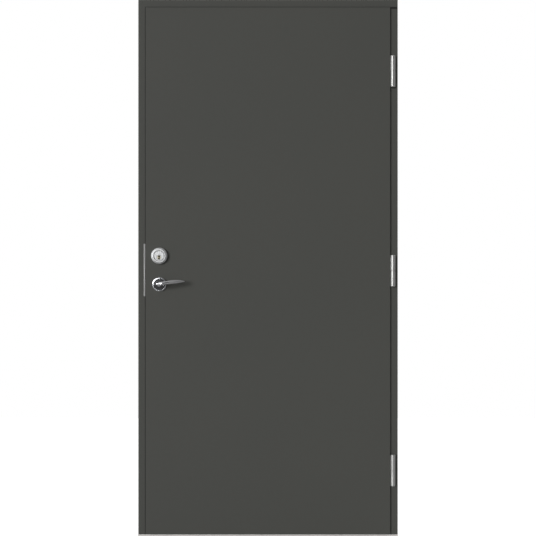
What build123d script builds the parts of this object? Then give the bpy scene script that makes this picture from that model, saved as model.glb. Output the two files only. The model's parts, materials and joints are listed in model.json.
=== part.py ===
"""Steel exterior door whose thin rim laps over its folded steel frame, hung on lift-off hinges.

Millimetres. X runs along the wall with the hinges at +X, Y runs through the wall with the outside at -Y,
and Z is up. The origin is the middle of the threshold's underside.
"""

import math
import os

from build123d import *

# Frame: mitred channels of folded sheet, open towards the wall, with stops set on them
FRAME_WIDTH = 990
FRAME_HEIGHT = 2065
FRAME_DEPTH = 110
FRAME_FACE = 33
FRAME_SHEET = 2
FRAME_BEND = 3
STOP_WIDTH = 17
WALL_RETURN = 18
FIXING_RADIUS = 5.5
FIXING_SPACINGS = (540, 1600)

# Threshold: a hollow, grooved extrusion that the jambs stand on
SILL_TREAD = 25
SILL_UPSTAND = 20
SILL_WALL = 3
SILL_CHAMBERS = 3
SILL_NOSE = 2
SILL_GROOVES = 6
SILL_GROOVE_PITCH = 8
SILL_GROOVE_WIDTH = 2.5
SILL_GROOVE_DEPTH = 1

# Leaf: an outer sheet with a hemmed rim, a deep inner pan seated in it and a core between them
LEAF_GAP = 7
LEAF_THICKNESS = 65
LEAF_SHEET = 1.5
LEAF_BEND = 2
RIM_WIDTH = 10.5
RIM_RISE = 8
RIM_DROP = 5
RIM_CLEARANCE = 5
RIM_EDGE = 1.2
CORE_MARGIN = 1

# Seals: hollow bulbs on the frame's stops
SEAL_SPACE = 9
SEAL_CLEARANCE = 1
SEAL_WIDTH = 10
SEAL_WALL = 1.5

# Hinges: the leaf's upper knuckle turns on the pin of the frame's lower one
LOWER_HINGE_RISE = 271
UPPER_HINGE_DROP = 276
HINGE_OFFSET = 9.5
HINGE_LENGTH = 120
HINGE_RADIUS = 9
HINGE_STANDOFF = 1
HINGE_PLATE = 3
HINGE_PLATE_DEPTH = 50
HINGE_PLATE_INSET = 6
HINGE_BEND = 4
HINGE_CLEARANCE = 1
HINGE_TIP = 2.5
HINGE_SEAM = 0.8
KNUCKLE_GAP = 0.3
PIN_RADIUS = 6
PIN_LENGTH = 42
PIN_CLEARANCE = 0.05

# Lock: a mortise case behind a long forend, with both bolts drawn back
LOCK_HEIGHT = 1033
BACKSET = 42
LOCK_CENTRES = 108
FOREND_LENGTH = 235
FOREND_WIDTH = 22
FOREND_THICKNESS = 3
CASE_DEPTH = 82
CASE_HEIGHT = 166
CASE_THICKNESS = 18
BOLT_THROAT = 30
BOLT_CLEARANCE = 0.3
LATCH_HEIGHT = 22
LATCH_WIDTH = 12
LATCH_ABOVE_LEVER = 8
DEAD_BOLT_HEIGHT = 36
DEAD_BOLT_WIDTH = 14
DEAD_BOLT_BELOW_KEY = 24
BOLT_EDGE = 1.5

# Strike plate: an angle let into the lock jamb's rebate and face, with a guard box behind it
STRIKE_LENGTH = 200
STRIKE_DEPTH = 48
STRIKE_LIP = 12
STRIKE_THICKNESS = 3
STRIKE_MARGIN = 3
STRIKE_BOX_DEPTH = 25

# Key cylinder, with its guard ring outside and a thumb turn inside
GUARD_RADIUS = 30.5
GUARD_HEIGHT = 18
GUARD_BEVEL = 5.5
GUARD_EDGE = 1.5
GUARD_GROOVE_RADIUS = 20
GUARD_GROOVE_WIDTH = 2
GUARD_GROOVE_DEPTH = 3
GUARD_DISH = 1
CYLINDER_RADIUS = 17
CYLINDER_CLEARANCE = 0.3
PLUG_RADIUS = 10
PLUG_DROP = 6
PLUG_LENGTH = 28
PLUG_CLEARANCE = 0.05
KEYWAY_WIDTH = 2.2
KEYWAY_HEIGHT = 10
KEYWAY_DEPTH = 22
FUNNEL_TOP = 12
FUNNEL_FOOT = 8
FUNNEL_HEIGHT = 14
FUNNEL_DEPTH = 6
TURN_STEM_RADIUS = 9
TURN_LENGTH = 38
TURN_WIDTH = 12
TURN_HEIGHT = 17
TURN_EDGE = 3

# Lever handles on round roses, joined by one square spindle
ROSE_RADIUS = 27
ROSE_BEAD = 5
ROSE_FLOOR = 5.5
ROSE_HUB = 7
BEARING_CLEARANCE = 0.3
LEVER_REACH = 99
LEVER_RISE = 11.3
LEVER_PROJECTION = 48
LEVER_BEND = 15
LEVER_TIP_RETURN = 6
NECK_RADIUS = 10
NECK_START = 12
NECK_WAIST = 7.6
NECK_THICKNESS = 7.4
NECK_EASE = 0.5
SPINDLE = 8
SPINDLE_GRIP = 26
SPINDLE_HOLE_RADIUS = 6.5

# Lever grip: share of its length past the bend, half thickness and half height
GRIP_STATIONS = ((0.3, 5.6, 7.0), (0.55, 5.0, 6.9), (0.73, 4.0, 5.5), (0.89, 2.7, 3.5), (1.0, 0.9, 1.2))
BEND_TURNS = (0, 30, 60, 90)

# Places worked out from the sizes above
outer_x = FRAME_WIDTH / 2
rebate_x = outer_x - FRAME_FACE
reveal_x = rebate_x - STOP_WIDTH
leaf_edge_x = rebate_x - LEAF_GAP
rim_x = leaf_edge_x + RIM_WIDTH
front_y = -FRAME_DEPTH / 2
back_y = FRAME_DEPTH / 2
rim_back_y = front_y - RIM_CLEARANCE
leaf_front_y = rim_back_y - 2 * LEAF_SHEET
leaf_back_y = leaf_front_y + LEAF_THICKNESS
leaf_mid_y = leaf_front_y + LEAF_THICKNESS / 2
stop_y = leaf_back_y + SEAL_SPACE
fixing_y = (stop_y + back_y) / 2
leaf_bottom_z = SILL_TREAD + LEAF_GAP
leaf_top_z = FRAME_HEIGHT - FRAME_FACE - LEAF_GAP
leaf_mid_z = (leaf_bottom_z + leaf_top_z) / 2
rim_bottom_z = leaf_bottom_z - RIM_DROP
rim_top_z = leaf_top_z + RIM_RISE
leaf_width = 2 * leaf_edge_x
leaf_height = leaf_top_z - leaf_bottom_z
reveal_top_z = FRAME_HEIGHT - FRAME_FACE - STOP_WIDTH
sill_stop_z = SILL_TREAD + SILL_UPSTAND
hinge_x = rim_x + HINGE_OFFSET
hinge_y = front_y - HINGE_STANDOFF - HINGE_RADIUS
upper_hinge_z = FRAME_HEIGHT - UPPER_HINGE_DROP
hinge_heights = (LOWER_HINGE_RISE, (LOWER_HINGE_RISE + upper_hinge_z) / 2, upper_hinge_z)
knuckle_length = (HINGE_LENGTH - KNUCKLE_GAP) / 2
hinge_plate_length = knuckle_length - HINGE_PLATE_INSET
lock_x = -leaf_edge_x + BACKSET
cylinder_z = LOCK_HEIGHT + LOCK_CENTRES / 2
lever_z = LOCK_HEIGHT - LOCK_CENTRES / 2
latch_z = lever_z + LATCH_ABOVE_LEVER
dead_bolt_z = cylinder_z - DEAD_BOLT_BELOW_KEY
plug_z = cylinder_z - PLUG_DROP
seal_height = SEAL_SPACE - SEAL_CLEARANCE
cylinder_bore = CYLINDER_RADIUS + CYLINDER_CLEARANCE
neck_bore = NECK_RADIUS + BEARING_CLEARANCE
rose_crest = ROSE_FLOOR + ROSE_BEAD / 2
OUTSIDE, INSIDE = -1, 1
face_y = {OUTSIDE: leaf_front_y, INSIDE: leaf_back_y}

os.makedirs("parts", exist_ok=True)


def finish(piece, name):
    """Labels a finished piece and writes it as its own node."""
    piece.part.label = name
    export_step(piece.part, f"parts/{name}.step")


def across_plane(x):
    """Sketch plane across the doorway at x: sketch X is up and sketch Y is into the wall."""
    return Plane((x, 0, 0), x_dir=(0, 0, 1), z_dir=(-1, 0, 0))


def turning_plane(z, side):
    """Sketch plane for turned hardware: sketch X is the radius and sketch Y stands out of the leaf."""
    return Plane((lock_x, face_y[side], z), x_dir=(1, 0, 0), z_dir=(0, 0, side))


def turning_axis(z):
    return Axis((lock_x, front_y, z), (0, 1, 0))


def leaf_face_plane(z, side):
    """Plane on the leaf's face at the lock, facing out of the leaf."""
    return Plane((lock_x, face_y[side], z), x_dir=(1, 0, 0), z_dir=(0, side, 0))


# Frame members: a channel towards the wall, with a folded stop on its doorway side


def folded_sheet(plane, corners):
    """Section of a sheet folded along `corners`, with its thickness on the right of the line."""
    with BuildSketch(plane) as section:
        with BuildLine():
            FilletPolyline(*corners, radius=FRAME_BEND)
            offset(amount=FRAME_SHEET, side=Side.RIGHT)
        make_face()
    return section.sketch


def channel_section(plane, outer):
    """Section of a frame channel whose open wall side is at `outer` on the sketch's X axis."""
    rebate = outer - FRAME_FACE
    corners = (
        (outer, front_y + WALL_RETURN),
        (outer, front_y),
        (rebate, front_y),
        (rebate, back_y),
        (outer, back_y),
        (outer, back_y - WALL_RETURN),
    )
    return folded_sheet(plane, corners)


def stop_section(plane, rebate):
    """Section of the stop that stands on a channel's rebate wall at `rebate` on the sketch's X axis."""
    reveal = rebate - STOP_WIDTH
    corners = ((rebate, stop_y), (reveal, stop_y), (reveal, back_y), (rebate, back_y))
    return folded_sheet(plane, corners)


mitre = Plane((outer_x, 0, FRAME_HEIGHT), z_dir=(1, 0, -1))
far_mitre = Plane((-outer_x, 0, FRAME_HEIGHT), z_dir=(-1, 0, -1))
jamb_foot = Plane.XY.offset(SILL_TREAD)
jamb_height = FRAME_HEIGHT - SILL_TREAD
fixing_heights = [leaf_mid_z + sign * spacing / 2 for spacing in FIXING_SPACINGS for sign in (-1, 1)]


def fixing_places(x):
    return [Plane((x, fixing_y, z), z_dir=(-1, 0, 0)) for z in fixing_heights]


with BuildPart() as jamb_channel:
    extrude(channel_section(jamb_foot, outer_x), amount=jamb_height)
    split(bisect_by=mitre, keep=Keep.TOP)
    with Locations(*fixing_places(rebate_x)):
        Hole(FIXING_RADIUS, depth=2 * FRAME_SHEET)

with BuildPart() as hinge_jamb:
    add(jamb_channel.part)
    with Locations(*[(hinge_x, front_y, z - KNUCKLE_GAP / 2) for z in hinge_heights]):
        Box(
            HINGE_PLATE,
            4 * FRAME_SHEET,
            hinge_plate_length,
            align=(Align.CENTER, Align.CENTER, Align.MAX),
            mode=Mode.SUBTRACT,
        )
finish(hinge_jamb, "frame_hinge_jamb")

with BuildPart() as hinge_jamb_stop:
    extrude(stop_section(jamb_foot, rebate_x), amount=jamb_height)
    split(bisect_by=mitre, keep=Keep.TOP)
    with Locations(*fixing_places(reveal_x)):
        Hole(FIXING_RADIUS, depth=2 * FRAME_SHEET)
finish(hinge_jamb_stop, "hinge_jamb_stop")

box_x = -rebate_x - FRAME_SHEET
box_y = front_y + STRIKE_THICKNESS
box_width = STRIKE_DEPTH - STRIKE_THICKNESS
with BuildPart() as lock_jamb:
    mirror(jamb_channel.part, about=Plane.YZ)
    with Locations((box_x, box_y, LOCK_HEIGHT)):
        Box(
            STRIKE_BOX_DEPTH + FRAME_SHEET,
            box_width + FRAME_SHEET,
            STRIKE_LENGTH + 2 * FRAME_SHEET,
            align=(Align.MAX, Align.MIN, Align.CENTER),
        )
    with Locations((box_x, box_y + FRAME_SHEET, LOCK_HEIGHT)):
        Box(
            STRIKE_BOX_DEPTH,
            box_width - FRAME_SHEET,
            STRIKE_LENGTH,
            align=(Align.MAX, Align.MIN, Align.CENTER),
            mode=Mode.SUBTRACT,
        )
    with BuildSketch(Plane.XY.offset(LOCK_HEIGHT - STRIKE_LENGTH / 2)):
        with Locations((-rebate_x, front_y)):
            Rectangle(STRIKE_THICKNESS, STRIKE_DEPTH, align=(Align.MAX, Align.MIN))
            Rectangle(STRIKE_LIP, STRIKE_THICKNESS, align=(Align.MAX, Align.MIN))
    extrude(amount=STRIKE_LENGTH, mode=Mode.SUBTRACT)
finish(lock_jamb, "frame_lock_jamb")

with BuildPart() as lock_jamb_stop:
    mirror(hinge_jamb_stop.part, about=Plane.YZ)
finish(lock_jamb_stop, "lock_jamb_stop")

with BuildPart() as head:
    extrude(channel_section(across_plane(0), FRAME_HEIGHT), amount=outer_x, both=True)
    split(bisect_by=mitre, keep=Keep.BOTTOM)
    split(bisect_by=far_mitre, keep=Keep.BOTTOM)
finish(head, "frame_head")

with BuildPart() as head_stop:
    extrude(stop_section(across_plane(0), FRAME_HEIGHT - FRAME_FACE), amount=outer_x, both=True)
    split(bisect_by=mitre, keep=Keep.BOTTOM)
    split(bisect_by=far_mitre, keep=Keep.BOTTOM)
finish(head_stop, "head_stop")

# Threshold: its upstand is the bottom stop, cut away at both ends where the jambs stand

chamber_width = (FRAME_DEPTH - (SILL_CHAMBERS + 1) * SILL_WALL) / SILL_CHAMBERS
with BuildPart() as threshold:
    with BuildSketch(Plane.YZ):
        with BuildLine():
            Polyline(
                (front_y, 0),
                (back_y, 0),
                (back_y, sill_stop_z),
                (stop_y, sill_stop_z),
                (stop_y, SILL_TREAD),
                (front_y, SILL_TREAD),
                close=True,
            )
        make_face()
        with Locations((0, SILL_TREAD / 2)):
            with GridLocations(chamber_width + SILL_WALL, 0, SILL_CHAMBERS, 1):
                Rectangle(chamber_width, SILL_TREAD - 2 * SILL_WALL, mode=Mode.SUBTRACT)
        with Locations(((stop_y + back_y) / 2, SILL_TREAD + (SILL_UPSTAND - SILL_WALL) / 2)):
            Rectangle(back_y - stop_y - 2 * SILL_WALL, SILL_UPSTAND - SILL_WALL, mode=Mode.SUBTRACT)
        with Locations(((front_y + stop_y) / 2, SILL_TREAD)):
            with GridLocations(SILL_GROOVE_PITCH, 0, SILL_GROOVES, 1):
                Rectangle(SILL_GROOVE_WIDTH, 2 * SILL_GROOVE_DEPTH, mode=Mode.SUBTRACT)
    extrude(amount=outer_x, both=True)
    with Locations((0, (stop_y + back_y) / 2, SILL_TREAD + SILL_UPSTAND / 2)):
        with GridLocations(outer_x + reveal_x, 0, 2, 1):
            Box(outer_x - reveal_x, back_y - stop_y, SILL_UPSTAND, mode=Mode.SUBTRACT)
    nose = threshold.edges().filter_by(Axis.X).filter_by(
        lambda edge: abs(edge.center().Y - front_y) < SILL_WALL / 2 and edge.center().Z > SILL_TREAD / 2
    )
    fillet(nose, SILL_NOSE)
finish(threshold, "threshold")

# Seals


def seal_section(plane, across):
    """Hollow bulb seated on the stop, with its crest towards the leaf."""
    low = across - SEAL_WIDTH / 2
    high = across + SEAL_WIDTH / 2
    crest = stop_y - seal_height
    shoulder = crest + SEAL_WIDTH / 2
    with BuildSketch(plane) as section:
        with BuildLine():
            Polyline((low, shoulder), (low, stop_y), (high, stop_y), (high, shoulder))
            ThreePointArc((high, shoulder), (across, crest), (low, shoulder))
        make_face()
        offset(amount=-SEAL_WALL, mode=Mode.SUBTRACT)
    return section.sketch


seal_x = (leaf_edge_x + reveal_x) / 2
head_seal_z = (leaf_top_z + reveal_top_z) / 2
jamb_seal_top = head_seal_z - SEAL_WIDTH / 2

for side, name in ((1, "hinge_jamb_seal"), (-1, "lock_jamb_seal")):
    with BuildPart() as jamb_seal:
        extrude(seal_section(Plane.XY.offset(SILL_TREAD), side * seal_x), amount=jamb_seal_top - SILL_TREAD)
    finish(jamb_seal, name)

with BuildPart() as head_seal:
    extrude(seal_section(across_plane(0), head_seal_z), amount=seal_x + SEAL_WIDTH / 2, both=True)
finish(head_seal, "head_seal")

with BuildPart() as threshold_seal:
    extrude(seal_section(across_plane(0), (leaf_bottom_z + sill_stop_z) / 2), amount=reveal_x, both=True)
finish(threshold_seal, "threshold_seal")

# Strike plate

with BuildPart() as strike_plate:
    with BuildSketch(Plane.XY.offset(LOCK_HEIGHT - STRIKE_LENGTH / 2)):
        with BuildLine():
            FilletPolyline(
                (-rebate_x - STRIKE_LIP, front_y),
                (-rebate_x, front_y),
                (-rebate_x, front_y + STRIKE_DEPTH),
                radius=FRAME_BEND,
            )
            offset(amount=STRIKE_THICKNESS, side=Side.LEFT)
        make_face()
    extrude(amount=STRIKE_LENGTH)
    for bolt_z, bolt_height, bolt_width in (
        (latch_z, LATCH_HEIGHT, LATCH_WIDTH),
        (dead_bolt_z, DEAD_BOLT_HEIGHT, DEAD_BOLT_WIDTH),
    ):
        with Locations((-rebate_x, leaf_mid_y, bolt_z)):
            Box(
                3 * STRIKE_THICKNESS,
                bolt_width + 2 * STRIKE_MARGIN,
                bolt_height + 2 * STRIKE_MARGIN,
                mode=Mode.SUBTRACT,
            )
finish(strike_plate, "strike_plate")

# Hinges


def hinge_half(centre_z, on_leaf):
    """One knuckle with its plate: the leaf's upper one is bored, the frame's lower one carries the pin."""
    up = 1 if on_leaf else -1
    seat_z = centre_z + up * KNUCKLE_GAP / 2
    with BuildPart() as half:
        with Locations((hinge_x, hinge_y, seat_z + up * knuckle_length / 2)):
            Cylinder(HINGE_RADIUS, knuckle_length)
        fillet(half.edges().sort_by(Axis.Z)[-1 if on_leaf else 0], HINGE_TIP)
        chamfer(half.edges().sort_by(Axis.Z)[0 if on_leaf else -1], HINGE_SEAM)
        with BuildSketch(Plane.XY.offset(seat_z)):
            if on_leaf:
                with BuildLine():
                    FilletPolyline(
                        (hinge_x, rim_back_y),
                        (leaf_edge_x, rim_back_y),
                        (leaf_edge_x, rim_back_y + HINGE_PLATE_DEPTH),
                        radius=HINGE_BEND,
                    )
                    offset(amount=HINGE_PLATE, side=Side.RIGHT)
                make_face()
            else:
                with Locations((hinge_x, hinge_y)):
                    Rectangle(HINGE_PLATE, HINGE_PLATE_DEPTH, align=(Align.CENTER, Align.MIN))
        extrude(amount=up * hinge_plate_length)
        with Locations((hinge_x, hinge_y, seat_z)):
            if on_leaf:
                Cylinder(
                    PIN_RADIUS + PIN_CLEARANCE,
                    PIN_LENGTH + KNUCKLE_GAP,
                    align=(Align.CENTER, Align.CENTER, Align.MIN),
                    mode=Mode.SUBTRACT,
                )
            else:
                Cylinder(PIN_RADIUS, PIN_LENGTH, align=(Align.CENTER, Align.CENTER, Align.MIN))
    return half


for place, hinge_z in zip(("lower", "middle", "upper"), hinge_heights):
    finish(hinge_half(hinge_z, on_leaf=False), f"{place}_hinge_frame_half")
    finish(hinge_half(hinge_z, on_leaf=True), f"{place}_hinge_leaf_half")

# Leaf


def forend_outline():
    """Round-ended outline of the lock's forend on the leaf's edge."""
    edge_plane = Plane((-leaf_edge_x, leaf_mid_y, LOCK_HEIGHT), x_dir=(0, 0, 1), z_dir=(1, 0, 0))
    with BuildSketch(edge_plane) as outline:
        SlotOverall(FOREND_LENGTH, FOREND_WIDTH)
    return outline.sketch


with BuildPart() as outer_tray:
    with Locations((0, leaf_front_y, rim_bottom_z)):
        Box(
            2 * rim_x,
            2 * LEAF_SHEET,
            rim_top_z - rim_bottom_z,
            align=(Align.CENTER, Align.MIN, Align.MIN),
        )
    fillet(outer_tray.faces().filter_by(Axis.Y).edges(), RIM_EDGE)
    with Locations((0, leaf_front_y + LEAF_SHEET, leaf_mid_z)):
        Box(
            leaf_width,
            LEAF_SHEET,
            leaf_height,
            align=(Align.CENTER, Align.MIN, Align.CENTER),
            mode=Mode.SUBTRACT,
        )
    with Locations(leaf_face_plane(cylinder_z, OUTSIDE)):
        Hole(cylinder_bore, depth=2 * LEAF_SHEET)
    with Locations(leaf_face_plane(lever_z, OUTSIDE)):
        Hole(SPINDLE_HOLE_RADIUS, depth=2 * LEAF_SHEET)
    with Locations(*[(hinge_x, hinge_y, z) for z in hinge_heights]):
        Cylinder(HINGE_RADIUS + HINGE_CLEARANCE, HINGE_LENGTH + 2 * HINGE_CLEARANCE, mode=Mode.SUBTRACT)
finish(outer_tray, "leaf_outer_tray")

with BuildPart() as inner_pan:
    with Locations((0, leaf_back_y, leaf_mid_z)):
        Box(
            leaf_width,
            LEAF_THICKNESS - LEAF_SHEET,
            leaf_height,
            align=(Align.CENTER, Align.MAX, Align.CENTER),
        )
    fillet(inner_pan.faces().sort_by(Axis.Y)[-1].edges(), LEAF_BEND)
    offset(amount=-LEAF_SHEET, openings=inner_pan.faces().sort_by(Axis.Y)[0])
    with Locations(leaf_face_plane(lever_z, INSIDE)):
        Hole(SPINDLE_HOLE_RADIUS, depth=2 * LEAF_SHEET)
    extrude(forend_outline(), amount=2 * LEAF_SHEET, mode=Mode.SUBTRACT)
finish(inner_pan, "leaf_inner_pan")

case_x = -leaf_edge_x + FOREND_THICKNESS + CASE_DEPTH / 2
core_inset = FOREND_THICKNESS + CORE_MARGIN
with BuildPart() as leaf_core:
    with Locations((0, leaf_mid_y, leaf_mid_z)):
        Box(leaf_width - 2 * core_inset, LEAF_THICKNESS - 2 * LEAF_SHEET, leaf_height - 2 * core_inset)
    with Locations((case_x, leaf_mid_y, LOCK_HEIGHT)):
        Box(CASE_DEPTH, CASE_THICKNESS, CASE_HEIGHT, mode=Mode.SUBTRACT)
    with Locations(leaf_face_plane(cylinder_z, OUTSIDE)):
        Hole(cylinder_bore, depth=(LEAF_THICKNESS - CASE_THICKNESS) / 2)
    with Locations(leaf_face_plane(lever_z, OUTSIDE)):
        Hole(SPINDLE_HOLE_RADIUS)
finish(leaf_core, "leaf_core")

# Lock


def bolt_box(z, width, height, room):
    """Adds or cuts one bolt's block at the current builder, grown by `room` all round."""
    with Locations((-leaf_edge_x, leaf_mid_y, z)):
        return Box(
            BOLT_THROAT + room,
            width + 2 * room,
            height + 2 * room,
            align=(Align.MIN, Align.CENTER, Align.CENTER),
            mode=Mode.SUBTRACT if room else Mode.ADD,
        )


with BuildPart() as lock_case:
    with Locations((case_x, leaf_mid_y, LOCK_HEIGHT)):
        Box(CASE_DEPTH, CASE_THICKNESS, CASE_HEIGHT)
    extrude(forend_outline(), amount=FOREND_THICKNESS)
    with Locations(leaf_face_plane(lever_z, OUTSIDE)):
        Hole(SPINDLE_HOLE_RADIUS)
    bolt_box(latch_z, LATCH_WIDTH, LATCH_HEIGHT, BOLT_CLEARANCE)
    bolt_box(dead_bolt_z, DEAD_BOLT_WIDTH, DEAD_BOLT_HEIGHT, BOLT_CLEARANCE)
finish(lock_case, "lock_case")

with BuildPart() as latch_bolt:
    bolt_box(latch_z, LATCH_WIDTH, LATCH_HEIGHT, 0)
    inner_edge = latch_bolt.edges().filter_by(Axis.Z).sort_by(Axis.X)[:2].sort_by(Axis.Y)[-1]
    chamfer(inner_edge, LATCH_WIDTH / 2)
finish(latch_bolt, "latch_bolt")

with BuildPart() as dead_bolt:
    bolt_box(dead_bolt_z, DEAD_BOLT_WIDTH, DEAD_BOLT_HEIGHT, 0)
    chamfer(dead_bolt.faces().sort_by(Axis.X)[0].edges(), BOLT_EDGE)
finish(dead_bolt, "dead_bolt")

# Key cylinder

cylinder_front = GUARD_HEIGHT - GUARD_DISH
groove_floor = GUARD_HEIGHT - GUARD_GROOVE_DEPTH
groove_inner = GUARD_GROOVE_RADIUS - GUARD_GROOVE_WIDTH / 2
groove_outer = GUARD_GROOVE_RADIUS + GUARD_GROOVE_WIDTH / 2
with BuildPart() as guard_ring:
    with BuildSketch(turning_plane(cylinder_z, OUTSIDE)):
        with BuildLine():
            Polyline(
                (cylinder_bore, 0),
                (GUARD_RADIUS, 0),
                (GUARD_RADIUS, GUARD_HEIGHT - GUARD_BEVEL),
                (GUARD_RADIUS - GUARD_BEVEL, GUARD_HEIGHT),
                (groove_outer, GUARD_HEIGHT),
                (groove_outer, groove_floor),
                (groove_inner, groove_floor),
                (groove_inner, cylinder_front),
                (cylinder_bore, cylinder_front),
                close=True,
            )
        make_face()
    revolve(axis=turning_axis(cylinder_z))
    rings = guard_ring.edges().filter_by(GeomType.CIRCLE).group_by(Axis.Y)
    fillet([rings[place].sort_by(SortBy.RADIUS)[-1] for place in (0, -2)], GUARD_EDGE)
finish(guard_ring, "cylinder_guard_ring")

cylinder_length = cylinder_front + (LEAF_THICKNESS - CASE_THICKNESS) / 2
with BuildPart() as cylinder_body:
    with BuildSketch(leaf_face_plane(cylinder_z, OUTSIDE).offset(cylinder_front)):
        Circle(CYLINDER_RADIUS)
    extrude(amount=-cylinder_length)
    with Locations(leaf_face_plane(plug_z, OUTSIDE).offset(cylinder_front)):
        Hole(PLUG_RADIUS + PLUG_CLEARANCE, depth=PLUG_LENGTH + PLUG_CLEARANCE)
finish(cylinder_body, "cylinder_body")

with BuildPart() as key_plug:
    with BuildSketch(leaf_face_plane(plug_z, OUTSIDE).offset(cylinder_front)):
        Circle(PLUG_RADIUS)
    extrude(amount=-PLUG_LENGTH)
    with BuildSketch(leaf_face_plane(plug_z, OUTSIDE).offset(cylinder_front)):
        Rectangle(KEYWAY_WIDTH, KEYWAY_HEIGHT)
    extrude(amount=-KEYWAY_DEPTH, mode=Mode.SUBTRACT)
    with BuildSketch(leaf_face_plane(plug_z, OUTSIDE).offset(cylinder_front)):
        with BuildLine():
            Polyline(
                (-FUNNEL_TOP / 2, FUNNEL_HEIGHT / 2),
                (FUNNEL_TOP / 2, FUNNEL_HEIGHT / 2),
                (KEYWAY_WIDTH / 2, 0),
                (FUNNEL_FOOT / 2, -FUNNEL_HEIGHT / 2),
                (-FUNNEL_FOOT / 2, -FUNNEL_HEIGHT / 2),
                (-KEYWAY_WIDTH / 2, 0),
                close=True,
            )
        make_face()
    extrude(amount=-FUNNEL_DEPTH, mode=Mode.SUBTRACT)
finish(key_plug, "key_plug")

# Roses and thumb turn


def rose(z, side, bore):
    """Round rose with a rolled bead at its rim and a dished face that rises to the bore."""
    edge = (ROSE_RADIUS, ROSE_FLOOR)
    crest = (ROSE_RADIUS - ROSE_BEAD / 2, rose_crest)
    foot = (ROSE_RADIUS - ROSE_BEAD, ROSE_FLOOR)
    with BuildPart() as turned:
        with BuildSketch(turning_plane(z, side)):
            with BuildLine():
                ThreePointArc(edge, crest, foot)
                Polyline(foot, (bore, ROSE_HUB), (bore, 0), (ROSE_RADIUS, 0), edge)
            make_face()
        revolve(axis=turning_axis(z))
    return turned


finish(rose(lever_z, OUTSIDE, neck_bore), "outer_rose")
finish(rose(lever_z, INSIDE, neck_bore), "inner_rose")
finish(rose(cylinder_z, INSIDE, TURN_STEM_RADIUS + BEARING_CLEARANCE), "thumb_turn_rose")

turn_base = rose_crest + BEARING_CLEARANCE
with BuildPart() as thumb_turn:
    with BuildSketch(leaf_face_plane(cylinder_z, INSIDE).offset(BEARING_CLEARANCE)):
        Circle(TURN_STEM_RADIUS)
    extrude(amount=rose_crest)
    with BuildSketch(leaf_face_plane(cylinder_z, INSIDE).offset(turn_base)):
        SlotOverall(TURN_LENGTH, TURN_WIDTH, rotation=90)
    extrude(amount=TURN_HEIGHT)
    fillet(thumb_turn.faces().sort_by(Axis.Y)[-1].edges(), TURN_EDGE)
finish(thumb_turn, "thumb_turn")

# Levers


def grip_rise(along):
    """Height of the lever's centre line above the spindle, level again at the tip."""
    return LEVER_RISE * (1 - (1 - along / LEVER_REACH) ** 2)


def lever_section(out, along, turn, half_thickness, half_height):
    """Elliptical section of the outer lever; `turn` is how far the centre line has bent along the leaf."""
    centre = (lock_x + along, leaf_front_y - out, lever_z + grip_rise(along))
    heading = Vector(0, -1, 0).rotate(Axis.Z, turn)
    with BuildSketch(Plane(centre, x_dir=heading.rotate(Axis.Z, 90), z_dir=heading)) as section:
        Ellipse(half_thickness, half_height)
    return section.sketch


bend_start = LEVER_PROJECTION - LEVER_BEND
grip_length = LEVER_REACH - LEVER_BEND
neck_sections = [
    lever_section(NECK_START, 0, 0, NECK_RADIUS - 2 * NECK_EASE, NECK_RADIUS - NECK_EASE),
    lever_section((NECK_START + bend_start) / 2, 0, 0, NECK_THICKNESS, NECK_WAIST),
]
bend_sections = [
    lever_section(
        bend_start + LEVER_BEND * math.sin(math.radians(turn)),
        LEVER_BEND * (1 - math.cos(math.radians(turn))),
        turn,
        NECK_THICKNESS,
        NECK_WAIST,
    )
    for turn in BEND_TURNS
]
grip_sections = [
    lever_section(
        LEVER_PROJECTION - LEVER_TIP_RETURN * share**2,
        LEVER_BEND + share * grip_length,
        90,
        half_thickness,
        half_height,
    )
    for share, half_thickness, half_height in GRIP_STATIONS
]

with BuildPart() as outer_lever:
    loft(neck_sections + bend_sections + grip_sections)
    with BuildSketch(leaf_face_plane(lever_z, OUTSIDE).offset(BEARING_CLEARANCE)):
        Circle(NECK_RADIUS)
    extrude(amount=NECK_START - BEARING_CLEARANCE)
    with BuildSketch(leaf_face_plane(lever_z, OUTSIDE)):
        Rectangle(SPINDLE, SPINDLE)
    extrude(amount=SPINDLE_GRIP, mode=Mode.SUBTRACT)
finish(outer_lever, "outer_lever")

with BuildPart() as inner_lever:
    mirror(outer_lever.part, about=Plane.XZ.offset(-leaf_mid_y))
finish(inner_lever, "inner_lever")

with BuildPart() as lever_spindle:
    with Locations((lock_x, leaf_mid_y, lever_z)):
        Box(SPINDLE, LEAF_THICKNESS + 2 * SPINDLE_GRIP, SPINDLE)
finish(lever_spindle, "lever_spindle")
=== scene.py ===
"""Looks, light and camera for the steel exterior door. Metres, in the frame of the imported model."""

import json
import math

import bpy
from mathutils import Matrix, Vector


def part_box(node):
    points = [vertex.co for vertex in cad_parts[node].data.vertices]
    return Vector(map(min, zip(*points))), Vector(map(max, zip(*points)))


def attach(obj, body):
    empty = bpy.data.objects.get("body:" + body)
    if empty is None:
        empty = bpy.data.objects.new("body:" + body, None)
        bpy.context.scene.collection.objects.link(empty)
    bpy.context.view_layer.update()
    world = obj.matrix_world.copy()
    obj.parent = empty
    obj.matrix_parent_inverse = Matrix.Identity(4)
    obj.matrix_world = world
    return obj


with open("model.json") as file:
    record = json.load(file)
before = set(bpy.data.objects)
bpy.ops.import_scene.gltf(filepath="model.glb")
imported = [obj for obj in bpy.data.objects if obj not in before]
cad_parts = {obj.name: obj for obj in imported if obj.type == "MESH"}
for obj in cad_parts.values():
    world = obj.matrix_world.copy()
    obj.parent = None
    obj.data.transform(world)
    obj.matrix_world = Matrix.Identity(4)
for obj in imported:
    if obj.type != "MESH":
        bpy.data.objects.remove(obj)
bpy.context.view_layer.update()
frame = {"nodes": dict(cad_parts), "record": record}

nodes = frame["nodes"]

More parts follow.
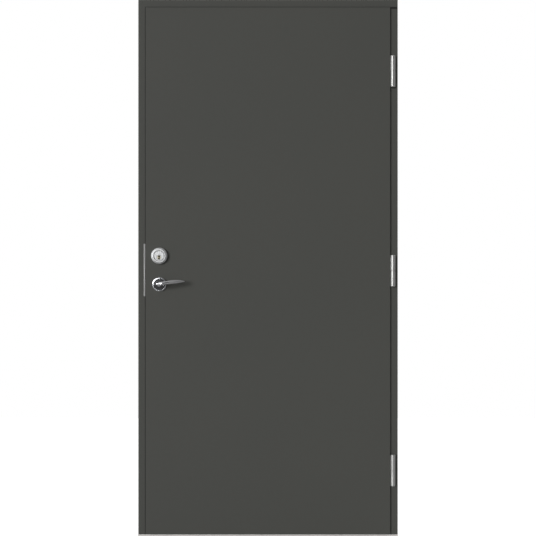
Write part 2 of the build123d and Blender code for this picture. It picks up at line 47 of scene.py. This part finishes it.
# Picture: the frame's width spans a known share of the square image, whose top edge just cuts its head
IMAGE_PIXELS = 536
FRAME_PIXELS = 259.6
TOP_CUT_PIXELS = 0.6
CAMERA_DISTANCE = 3.75
SENSOR_WIDTH = 36.0

# Light: a soft key from the left, a fill for the back, and even light for the shade
KEY_FROM = Vector((-0.70, -1.0, 0.21))
KEY_STRENGTH = 2.05
KEY_SOFTNESS = math.radians(24)
FILL_FROM = Vector((0.6, 1.0, 0.5))
FILL_STRENGTH = 1.0
FILL_SOFTNESS = math.radians(60)
AMBIENT = 0.30

# Studio that bright metal mirrors: dark in front, pale behind, dimmer on the right, with one softbox.
# Depth, rise and side are the parts of a direction's Y, Z and X over which it changes.
STUDIO_FRONT = 0.05
STUDIO_BACK = 0.9
STUDIO_TOP = 0.30
STUDIO_RIGHT = 0.75
STUDIO_DEPTH = (-0.5, 0.3)
STUDIO_RISE = (0.1, 0.9)
STUDIO_SIDE = (-0.2, 0.7)
SOFTBOX_FROM = Vector((-1.0, -0.20, 0.25)).normalized()
SOFTBOX_LEVEL = 0.8
SOFTBOX_EDGE = math.cos(math.radians(38))
SOFTBOX_CORE = math.cos(math.radians(14))

# Floor: what it reflects, and the glow that lifts it to white for the camera
FLOOR_SIZE = 6.0
FLOOR_ALBEDO = 0.72
FLOOR_LIFT = 0.80

# Finishes, in linear colour
PAINT = (0.067, 0.068, 0.061)
PAINT_SHADE = (0.064, 0.0655, 0.0595)
# Painted shade: the dark of the line beside the leaf's rim and of the keyway's inside
PAINTED_SHADE = (0.012, 0.012, 0.011)
NICKEL = (0.80, 0.81, 0.82)
BRASS = (0.95, 0.88, 0.64)
STEEL = (0.50, 0.50, 0.49)
STRIKE = (0.65, 0.65, 0.645)
SILL = (0.72, 0.71, 0.69)
CHROME = (0.72, 0.73, 0.75)
GRIP_CHROME = (0.56, 0.56, 0.57)
RUBBER = (0.022, 0.022, 0.021)
RUBBER_SHADE = (0.012, 0.012, 0.012)
WOOL = (0.52, 0.47, 0.34)
WOOL_SHADE = (0.36, 0.31, 0.2)

# Waves a metre, along each axis, of brush lines, scratches and fibres, and the pitch of turning marks
UPRIGHT_LINES = (900, 900, 12)
LEVEL_LINES = (6, 900, 900)
PLUG_SCRATCHES = (2600, 300, 500)
WOOL_FIBRES = (60, 400, 60)
TURNING_PITCH = 0.0016

# Chrome's roughness, from the rose out to the lever's grip
POLISHED = 0.09
DULLED = 0.36
GRIP_REACH = (0.024, 0.045)

# Key plug: where the plating is worn through, by distance from its middle, and how deep the painted
# shade inside its keyway starts
WORN_REACH = (0.005, 0.009)
KEYWAY_SHADE_DEPTH = (0.0004, 0.0015)

# Painted shade in the groove of the key cylinder's ring, by distance from its axis
GROOVE_SHADE = (0.30, 0.30, 0.29)
GROOVE_INNER = (0.0185, 0.0192)
GROOVE_OUTER = (0.0208, 0.0215)

# Painted shade line on the frame beside and above the leaf's rim, by distance outside the rim's
# outline
SHADE_LINE_START = -0.006
SHADE_LINE_FULL = (-0.003, 0.0015)
SHADE_LINE_END = 0.005

# Screws: radius and crown of a head, its cross recess, and where each set sits
SCREW_RADIUS = 0.0042
SCREW_CROWN = 0.0005
SCREW_SIDES = 32
SHOULDER_SHARE = 0.8
SHOULDER_RISE = 0.7
RECESS_RADIUS = 0.0019
RECESS_LOBE = 0.45
RECESS_DEPTH = 0.0014
RECESS_TAPER = 0.8
RECESS_ARMS = 4
FOREND_SCREW_INSET = 0.012
STRIKE_SCREW_INSET = 0.014
HINGE_SCREW_INSET = 0.012
HINGE_PLATE_REACH = 0.003
SILL_SCREW_INSET = 0.007
SILL_SCREW_SPREAD = 0.40

# Axes that screws face along
X = Vector((1, 0, 0))
Z = Vector((0, 0, 1))


class Finish:
    """A Principled material, with short calls for the node chains that the finishes share."""

    def __init__(self, name, base, roughness, metallic=0.0, specular=0.5):
        self.material = bpy.data.materials.new(name)
        self.material.use_nodes = True
        self.tree = self.material.node_tree
        self.shader = self.tree.nodes["Principled BSDF"]
        self.set("Base Color", (*base, 1.0))
        self.set("Roughness", roughness)
        self.set("Metallic", metallic)
        self.set("Specular IOR Level", specular)
        self.coordinates = self.node("ShaderNodeTexCoord").outputs["Object"]

    def set(self, socket, value):
        self.shader.inputs[socket].default_value = value

    def node(self, kind, **settings):
        made = self.tree.nodes.new(kind)
        for name, value in settings.items():
            setattr(made, name, value)
        return made

    def link(self, source, target):
        self.tree.links.new(source, target)

    def stretched(self, scale):
        """Object coordinates, stretched by a scale for each axis."""
        mapping = self.node("ShaderNodeMapping")
        mapping.inputs["Scale"].default_value = scale
        self.link(self.coordinates, mapping.inputs["Vector"])
        return mapping.outputs["Vector"]

    def noise(self, scale, detail=3.0, stretch=(1, 1, 1)):
        """Noise with `scale` waves a metre."""
        texture = self.node("ShaderNodeTexNoise")
        texture.inputs["Scale"].default_value = scale
        texture.inputs["Detail"].default_value = detail
        self.link(self.stretched(stretch), texture.inputs["Vector"])
        return texture.outputs["Fac"]

    def radius(self, centre):
        """Distance from a line along Y through `centre`."""
        shifted = self.node("ShaderNodeVectorMath", operation="SUBTRACT")
        self.link(self.coordinates, shifted.inputs[0])
        shifted.inputs[1].default_value = centre
        flat = self.node("ShaderNodeVectorMath", operation="MULTIPLY")
        self.link(shifted.outputs["Vector"], flat.inputs[0])
        flat.inputs[1].default_value = (1, 0, 1)
        length = self.node("ShaderNodeVectorMath", operation="LENGTH")
        self.link(flat.outputs["Vector"], length.inputs[0])
        return length.outputs["Value"]

    def rings(self, centre, pitch):
        """Turning marks: waves of `pitch` metres round a line along Y through `centre`."""
        wave = self.math("SINE", self.math("MULTIPLY", self.radius(centre), 2 * math.pi / pitch))
        return self.spread(wave, low=0.0, high=1.0, start=-1.0, end=1.0)

    def spread(self, source, low, high, start=0.3, end=0.7):
        """Maps start..end of a source to low..high."""
        spread = self.node("ShaderNodeMapRange")
        for name, value in (("From Min", start), ("From Max", end), ("To Min", low), ("To Max", high)):
            spread.inputs[name].default_value = value
        self.link(source, spread.inputs["Value"])
        return spread.outputs["Result"]

    def rough(self, source, low, high):
        self.link(self.spread(source, low, high), self.shader.inputs["Roughness"])

    def tint(self, source, first, second, start=0.3, end=0.7):
        """Base colour that runs from first to second with the source."""
        mix = self.node("ShaderNodeMix", data_type="RGBA")
        mix.inputs["A"].default_value = (*first, 1.0)
        mix.inputs["B"].default_value = (*second, 1.0)
        self.link(self.spread(source, 0.0, 1.0, start, end), mix.inputs["Factor"])
        self.link(mix.outputs["Result"], self.shader.inputs["Base Color"])

    def cover(self, mask, colour):
        """Lays a colour over the base colour where the mask is 1."""
        mix = self.node("ShaderNodeMix", data_type="RGBA")
        base = self.shader.inputs["Base Color"]
        self.link(base.links[0].from_socket, mix.inputs["A"])
        mix.inputs["B"].default_value = (*colour, 1.0)
        self.link(mask, mix.inputs["Factor"])
        self.link(mix.outputs["Result"], base)

    def math(self, operation, first, second=0.0):
        """One sum on a source and either a source or a number."""
        made = self.node("ShaderNodeMath", operation=operation)
        self.link(first, made.inputs[0])
        if isinstance(second, float):
            made.inputs[1].default_value = second
        else:
            self.link(second, made.inputs[1])
        return made.outputs[0]

    def axes(self):
        """Object coordinates, split into X, Y and Z."""
        split = self.node("ShaderNodeSeparateXYZ")
        self.link(self.coordinates, split.inputs[0])
        return split.outputs

    def bump(self, source, distance):
        """Adds surface relief of `distance` metres on top of what is there."""
        bump = self.node("ShaderNodeBump")
        bump.inputs["Distance"].default_value = distance
        self.link(source, bump.inputs["Height"])
        normal = self.shader.inputs["Normal"]
        if normal.is_linked:
            self.link(normal.links[0].from_socket, bump.inputs["Normal"])
        self.link(bump.outputs["Normal"], normal)


def centre_of(node):
    low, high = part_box(node)
    return (low + high) / 2


def shade(colour, share):
    return tuple(share * channel for channel in colour)


def add_shade_line(finish):
    """Painted shade: a dark line where the leaf's rim laps over the frame, on the lock side and at the
    top.
    """
    rim_low, rim_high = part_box("leaf_outer_tray")
    x, _, z = finish.axes()
    beside = finish.math("ADD", finish.math("MULTIPLY", x, -1.0), rim_low.x)
    above = finish.math("SUBTRACT", z, rim_high.z)
    outside = finish.math("MAXIMUM", beside, above)
    under_rim = finish.spread(outside, 0.0, 1.0, SHADE_LINE_START, SHADE_LINE_FULL[0])
    past_rim = finish.spread(outside, 1.0, 0.0, SHADE_LINE_FULL[1], SHADE_LINE_END)
    finish.cover(finish.math("MULTIPLY", under_rim, past_rim), PAINTED_SHADE)


def paint_finish(name):
    """Satin powder coat with fine orange peel."""
    finish = Finish(name, PAINT, roughness=0.6, specular=0.25)
    finish.tint(finish.noise(scale=1.7, detail=2.0), PAINT_SHADE, PAINT)
    finish.rough(finish.noise(scale=60.0, detail=4.0), low=0.58, high=0.66)
    finish.bump(finish.noise(scale=420.0, detail=2.0), distance=0.00005)
    return finish


def frame_finish(name):
    """The leaf's paint, with a painted shade line beside the rim."""
    finish = paint_finish(name)
    add_shade_line(finish)
    return finish.material


def brushed_finish(name, base, roughness, stretch, metallic=1.0):
    """Metal with fine brush lines, which run along the axis that `stretch` shrinks."""
    finish = Finish(name, base, roughness, metallic)
    lines = finish.noise(scale=1.0, stretch=stretch)
    finish.rough(lines, low=roughness - 0.06, high=roughness + 0.08)
    finish.bump(lines, distance=0.00004)
    finish.tint(finish.noise(scale=14.0), shade(base, 0.92), base)
    return finish


def strike_finish(name):
    """Brushed steel, with a painted shade line beside the rim."""
    finish = brushed_finish(name, STRIKE, roughness=0.32, stretch=UPRIGHT_LINES)
    add_shade_line(finish)
    return finish.material


def turned_finish(name):
    """Satin nickel with turning marks round the key cylinder's axis, and painted shade in the ring's
    groove.
    """
    axis = centre_of("cylinder_guard_ring")
    finish = Finish(name, NICKEL, roughness=0.45, metallic=1.0)
    finish.bump(finish.rings(axis, TURNING_PITCH), distance=0.00003)
    grain = finish.noise(scale=900.0)
    finish.bump(grain, distance=0.00004)
    finish.rough(grain, low=0.50, high=0.62)
    finish.tint(finish.noise(scale=120.0, detail=4.0), shade(NICKEL, 0.82), NICKEL)
    # Painted shade: a darker ring in the groove round the cylinder's face.
    reach = finish.radius(axis)
    past_inner = finish.spread(reach, 0.0, 1.0, *GROOVE_INNER)
    inside_outer = finish.spread(reach, 1.0, 0.0, *GROOVE_OUTER)
    finish.cover(finish.math("MULTIPLY", past_inner, inside_outer), GROOVE_SHADE)
    return finish.material


def plug_finish(name):
    """Nickel plating worn through to the brass round the keyway, which is painted black inside as
    shade.
    """
    finish = Finish(name, NICKEL, roughness=0.34, metallic=1.0)
    finish.tint(finish.radius(centre_of("key_plug")), BRASS, NICKEL, *WORN_REACH)
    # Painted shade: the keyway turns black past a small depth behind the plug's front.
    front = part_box("key_plug")[0].y
    keyway_shade = finish.spread(finish.axes()["Y"], 0.0, 1.0, *(front + depth for depth in KEYWAY_SHADE_DEPTH))
    finish.cover(keyway_shade, PAINTED_SHADE)
    scratches = finish.noise(scale=1.0, detail=4.0, stretch=PLUG_SCRATCHES)
    finish.rough(scratches, low=0.28, high=0.42)
    finish.bump(scratches, distance=0.00003)
    return finish.material


def chrome_finish(name):
    """Polished chrome that hands have dulled along the lever's grip."""
    finish = Finish(name, CHROME, roughness=0.2, metallic=1.0)
    reach = finish.radius(centre_of("lever_spindle"))
    finish.tint(reach, CHROME, GRIP_CHROME, *GRIP_REACH)
    dulled = finish.spread(reach, POLISHED, DULLED, *GRIP_REACH)
    smears = finish.spread(finish.noise(scale=90.0, detail=5.0), low=-0.03, high=0.03)
    finish.link(finish.math("ADD", dulled, smears), finish.shader.inputs["Roughness"])
    finish.bump(finish.noise(scale=160.0, detail=2.0), distance=0.00001)
    return finish.material


def rubber_finish(name):
    finish = Finish(name, RUBBER, roughness=0.7)
    finish.tint(finish.noise(scale=35.0), RUBBER_SHADE, RUBBER)
    finish.bump(finish.noise(scale=700.0, detail=2.0), distance=0.00005)
    return finish.material


def wool_finish(name):
    finish = Finish(name, WOOL, roughness=0.95)
    fibres = finish.noise(scale=1.0, detail=6.0, stretch=WOOL_FIBRES)
    finish.tint(fibres, WOOL_SHADE, WOOL)
    finish.bump(fibres, distance=0.001)
    return finish.material


sill = brushed_finish("sill_metal", SILL, roughness=0.45, stretch=LEVEL_LINES, metallic=0.4)
hinge = brushed_finish("hinge_steel", STEEL, roughness=0.50, stretch=UPRIGHT_LINES)
finishes = {
    "frame_paint": frame_finish("frame_paint"),
    "leaf_paint": paint_finish("leaf_paint").material,
    "core_wool": wool_finish("core_wool"),
    "sill_metal": sill.material,
    "seal_rubber": rubber_finish("seal_rubber"),
    "hinge_steel": hinge.material,
    "lock_steel": strike_finish("lock_steel"),
    "cylinder_metal": turned_finish("cylinder_metal"),
    "plug_brass": plug_finish("plug_brass"),
    "handle_chrome": chrome_finish("handle_chrome"),
}
for subpart in frame["record"]["subparts"]:
    mesh = nodes[subpart["node"]].data
    mesh.materials.clear()
    mesh.materials.append(finishes[subpart["material_slot"]])


def screw_mesh(places, facing):
    """Points and faces of crowned screw heads with a cross recess, at `places`, all facing one way."""
    turn = facing.to_track_quat("Z", "Y").to_matrix()
    rings = (
        (SCREW_RADIUS, 0.0, -SCREW_CROWN),
        (SCREW_RADIUS, 0.0, 0.0),
        (SHOULDER_SHARE * SCREW_RADIUS, 0.0, SHOULDER_RISE * SCREW_CROWN),
        (RECESS_RADIUS, RECESS_LOBE, SCREW_CROWN),
        (RECESS_TAPER * RECESS_RADIUS, RECESS_LOBE, -RECESS_DEPTH),
    )
    points = []
    faces = []
    for place in places:
        first = len(points)
        for radius, lobe, height in rings:
            for step in range(SCREW_SIDES):
                angle = 2 * math.pi * step / SCREW_SIDES
                reach = radius * (1 + lobe * math.cos(RECESS_ARMS * angle))
                local = Vector((reach * math.cos(angle), reach * math.sin(angle), height))
                points.append(place + turn @ local)
        for ring in range(len(rings) - 1):
            low = first + ring * SCREW_SIDES
            for step in range(SCREW_SIDES):
                after = (step + 1) % SCREW_SIDES
                above = low + SCREW_SIDES
                faces.append((low + step, low + after, above + after, above + step))
        floor = first + (len(rings) - 1) * SCREW_SIDES
        faces.append(tuple(range(floor, floor + SCREW_SIDES)))
        faces.append(tuple(reversed(range(first, first + SCREW_SIDES))))
    return points, faces


def add_screws(name, places, facing, body, slot):
    """One piece with a screw head at each place, which rides on a body."""
    mesh = bpy.data.meshes.new(name)
    points, faces = screw_mesh(places, facing)
    mesh.from_pydata(points, [], faces)
    mesh.materials.append(finishes[slot])
    screws = bpy.data.objects.new(name, mesh)
    bpy.context.scene.collection.objects.link(screws)
    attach(screws, body)


def span(low, high, inset):
    """Two places inside a span, each `inset` from its end."""
    return (low + inset, high - inset)


forend_low, forend_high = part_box("lock_case")
strike_low, strike_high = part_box("strike_plate")
sill_low, sill_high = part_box("threshold")
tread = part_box("frame_hinge_jamb")[0].z
leaf_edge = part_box("leaf_inner_pan")[1].x
lock_y = (forend_low.y + forend_high.y) / 2
forend_heights = span(forend_low.z, forend_high.z, FOREND_SCREW_INSET)
strike_heights = span(strike_low.z, strike_high.z, STRIKE_SCREW_INSET)
sill_y = sill_low.y + SILL_SCREW_INSET
sill_places = [Vector((x, sill_y, tread)) for x in (-SILL_SCREW_SPREAD, 0, SILL_SCREW_SPREAD)]
hinge_places = []
for place in ("lower", "middle", "upper"):
    plate_low, plate_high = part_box(f"{place}_hinge_leaf_half")
    for z in span(plate_low.z, plate_high.z, HINGE_SCREW_INSET):
        hinge_places.append(Vector((leaf_edge + HINGE_PLATE_REACH, lock_y, z)))
forend_places = [Vector((forend_low.x, lock_y, z)) for z in forend_heights]
strike_places = [Vector((strike_high.x, lock_y, z)) for z in strike_heights]
add_screws("forend_screws", forend_places, -X, "leaf", "lock_steel")
add_screws("strike_screws", strike_places, X, "frame", "lock_steel")
add_screws("hinge_screws", hinge_places, X, "leaf", "hinge_steel")
add_screws("sill_screws", sill_places, Z, "frame", "lock_steel")


def add_camera():
    """Looks square at the door, from the height that puts the head at the picture's top edge."""
    head_low, head_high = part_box("frame_head")
    pixel = (head_high.x - head_low.x) / FRAME_PIXELS
    view_width = IMAGE_PIXELS * pixel
    camera = bpy.data.objects.new("camera", bpy.data.cameras.new("camera"))
    camera.data.sensor_width = SENSOR_WIDTH
    camera.data.lens = SENSOR_WIDTH * CAMERA_DISTANCE / view_width
    eye_height = head_high.z - TOP_CUT_PIXELS * pixel - view_width / 2
    camera.location = (0, head_low.y - CAMERA_DISTANCE, eye_height)
    camera.rotation_euler = (math.pi / 2, 0, 0)
    bpy.context.scene.collection.objects.link(camera)
    bpy.context.scene.camera = camera


def add_sun(name, source, strength, softness, mirrored):
    """A soft sun from a direction, which bright metal may mirror."""
    sun = bpy.data.objects.new(name, bpy.data.lights.new(name, "SUN"))
    sun.data.energy = strength
    sun.data.angle = softness
    sun.rotation_euler = source.to_track_quat("Z", "Y").to_euler()
    sun.visible_glossy = mirrored
    bpy.context.scene.collection.objects.link(sun)


def add_world():
    """White for the camera, soft ambient light, and a dim studio with one softbox for reflections."""
    world = bpy.data.worlds.new("studio")
    bpy.context.scene.world = world
    world.use_nodes = True
    tree = world.node_tree

    def add(kind, **inputs):
        made = tree.nodes.new(kind)
        for name, value in inputs.items():
            socket = made.inputs[name.replace("_", " ")]
            if isinstance(value, bpy.types.NodeSocket):
                tree.links.new(value, socket)
            else:
                socket.default_value = value
        return made

    def graded(source, start, end, low, high):
        """A smooth rise from low to high while the source runs from start to end."""
        ramp = add("ShaderNodeMapRange", Value=source)
        for name, value in (("From Min", start), ("From Max", end), ("To Min", low), ("To Max", high)):
            ramp.inputs[name].default_value = value
        ramp.interpolation_type = "SMOOTHSTEP"
        return ramp.outputs["Result"]

    def combined(operation, first, second):
        made = tree.nodes.new("ShaderNodeMath")
        made.operation = operation
        tree.links.new(first, made.inputs[0])
        tree.links.new(second, made.inputs[1])
        return made.outputs[0]

    direction = tree.nodes.new("ShaderNodeTexCoord").outputs["Generated"]
    split = add("ShaderNodeSeparateXYZ", Vector=direction)
    walls = graded(split.outputs["Y"], *STUDIO_DEPTH, STUDIO_FRONT, STUDIO_BACK)
    ceiling = graded(split.outputs["Z"], *STUDIO_RISE, 0.0, STUDIO_TOP)
    sides = graded(split.outputs["X"], *STUDIO_SIDE, 1.0, STUDIO_RIGHT)
    room = combined("ADD", combined("MULTIPLY", walls, sides), ceiling)
    aim = tree.nodes.new("ShaderNodeVectorMath")
    aim.operation = "DOT_PRODUCT"
    tree.links.new(direction, aim.inputs[0])
    aim.inputs[1].default_value = SOFTBOX_FROM
    softbox = graded(aim.outputs["Value"], SOFTBOX_EDGE, SOFTBOX_CORE, 0.0, SOFTBOX_LEVEL)
    studio = combined("ADD", room, softbox)
    path = tree.nodes.new("ShaderNodeLightPath").outputs
    mirrored = combined("MAXIMUM", path["Is Glossy Ray"], path["Is Transmission Ray"])
    lit = add("ShaderNodeMix", Factor=mirrored, A=AMBIENT, B=studio)
    seen = add("ShaderNodeMix", Factor=path["Is Camera Ray"], A=lit.outputs["Result"], B=1.0)
    background = tree.nodes["Background"]
    background.inputs["Color"].default_value = (1, 1, 1, 1)
    tree.links.new(seen.outputs["Result"], background.inputs["Strength"])


def add_floor():
    """Pale floor, lifted to white for the camera, that keeps the object's shadow."""
    half = FLOOR_SIZE / 2
    mesh = bpy.data.meshes.new("floor")
    corners = [(-half, -half, 0), (half, -half, 0), (half, half, 0), (-half, half, 0)]
    mesh.from_pydata(corners, [], [(0, 1, 2, 3)])
    floor = bpy.data.objects.new("floor", mesh)
    floor.visible_shadow = False
    bpy.context.scene.collection.objects.link(floor)
    finish = Finish("floor", (FLOOR_ALBEDO,) * 3, roughness=0.9)
    finish.set("Emission Color", (1, 1, 1, 1))
    path = finish.node("ShaderNodeLightPath")
    lift = finish.node("ShaderNodeMath", operation="MULTIPLY")
    lift.inputs[1].default_value = FLOOR_LIFT
    finish.link(path.outputs["Is Camera Ray"], lift.inputs[0])
    finish.link(lift.outputs[0], finish.shader.inputs["Emission Strength"])
    mesh.materials.append(finish.material)


add_camera()
add_sun("key", KEY_FROM, KEY_STRENGTH, KEY_SOFTNESS, mirrored=True)
add_sun("fill", FILL_FROM, FILL_STRENGTH, FILL_SOFTNESS, mirrored=False)
add_world()
add_floor()
bpy.context.scene.view_settings.view_transform = "Standard"
